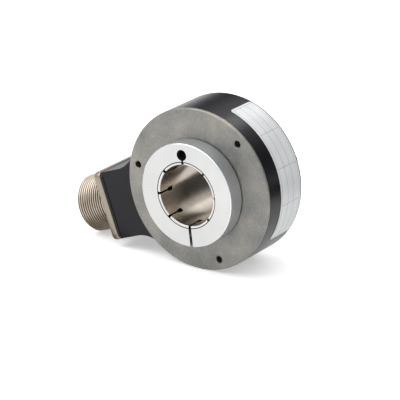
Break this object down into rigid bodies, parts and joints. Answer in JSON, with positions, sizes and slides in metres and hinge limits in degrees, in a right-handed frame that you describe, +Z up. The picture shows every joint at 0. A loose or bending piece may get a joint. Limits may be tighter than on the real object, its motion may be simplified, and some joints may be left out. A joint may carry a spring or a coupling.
{
  "type": "optical rotary encoder",
  "caption": "Hollow-shaft optical rotary encoder with a split clamp ring on a slotted collet, a round flanged body and a threaded connector on a side neck.",
  "frame": {"origin": "on the bore's axis, in the plane of the front flange's face", "axes": "-Y out of the front along the bore's axis, +Z up as the part lies on its rim and its connector"},
  "size_m": [0.1188, 0.045, 0.08],
  "materials": {
    "flange_metal": "satin, lightly mottled",
    "housing_black": "satin black coating",
    "seal_rubber": "matte",
    "screw_steel": "plain",
    "label_film": "satin film",
    "bearing_steel": "ground",
    "spacer_steel": "turned",
    "spring_steel": "blackened",
    "circuit_board": "solder mask",
    "chip_black": "moulded",
    "optical_glass": "polished",
    "holder_plastic": "moulded",
    "lamp_lens": "clear",
    "ribbon_film": "film",
    "connector_metal": "satin plated",
    "insert_rubber": "matte",
    "contact_gold": "plated",
    "shaft_steel": "turned and plated",
    "ring_metal": "bright turned",
    "disc_glass": "polished",
    "cage_plastic": "moulded"
  },
  "bodies": {
    "housing": {"front_flange": "flange_metal", "rear_housing": "housing_black", "housing_o_ring": "seal_rubber", "cover_screws": "screw_steel", "rim_label": "label_film", "front_shaft_seal": "seal_rubber", "rear_shaft_seal": "seal_rubber", "front_bearing_outer_ring": "bearing_steel", "rear_bearing_outer_ring": "bearing_steel", "bearing_outer_spacer": "spacer_steel", "bearing_retaining_ring": "spring_steel", "sensor_board": "circuit_board", "sensor_board_screws": "screw_steel", "photodetector_array": "chip_black", "scanning_mask": "optical_glass", "light_source_holder": "holder_plastic", "light_emitter": "lamp_lens", "board_components": "chip_black", "board_header": "holder_plastic", "flex_ribbon": "ribbon_film", "connector_board": "circuit_board", "connector_gasket": "seal_rubber", "connector_shell": "connector_metal", "connector_insert": "insert_rubber", "connector_pins": "contact_gold", "connector_screws": "screw_steel"},
    "rotor": {"hollow_shaft": "shaft_steel", "clamp_ring": "ring_metal", "clamp_screw": "screw_steel", "front_bearing_inner_ring": "bearing_steel", "rear_bearing_inner_ring": "bearing_steel", "bearing_inner_spacer": "spacer_steel", "shaft_retaining_ring": "spring_steel", "code_disc": "disc_glass", "code_disc_clamp": "ring_metal"},
    "front_ball_set": {"front_bearing_balls": "bearing_steel", "front_bearing_cage": "cage_plastic"},
    "rear_ball_set": {"rear_bearing_balls": "bearing_steel", "rear_bearing_cage": "cage_plastic"}
  },
  "joints": [
    {"name": "shaft_spin", "type": "hinge", "parent": "housing", "child": "rotor", "pos_m": [0, 0, 0], "axis": [0, 1, 0], "continuous": true},
    {"name": "front_cage_spin", "type": "hinge", "parent": "housing", "child": "front_ball_set", "pos_m": [0, 0, 0], "axis": [0, 1, 0], "continuous": true},
    {"name": "rear_cage_spin", "type": "hinge", "parent": "housing", "child": "rear_ball_set", "pos_m": [0, 0, 0], "axis": [0, 1, 0], "continuous": true}
  ],
  "couplings": [
    {"joint": "front_cage_spin", "follows": "shaft_spin", "ratio": 0.4516},
    {"joint": "rear_cage_spin", "follows": "shaft_spin", "ratio": 0.4516}
  ]
}
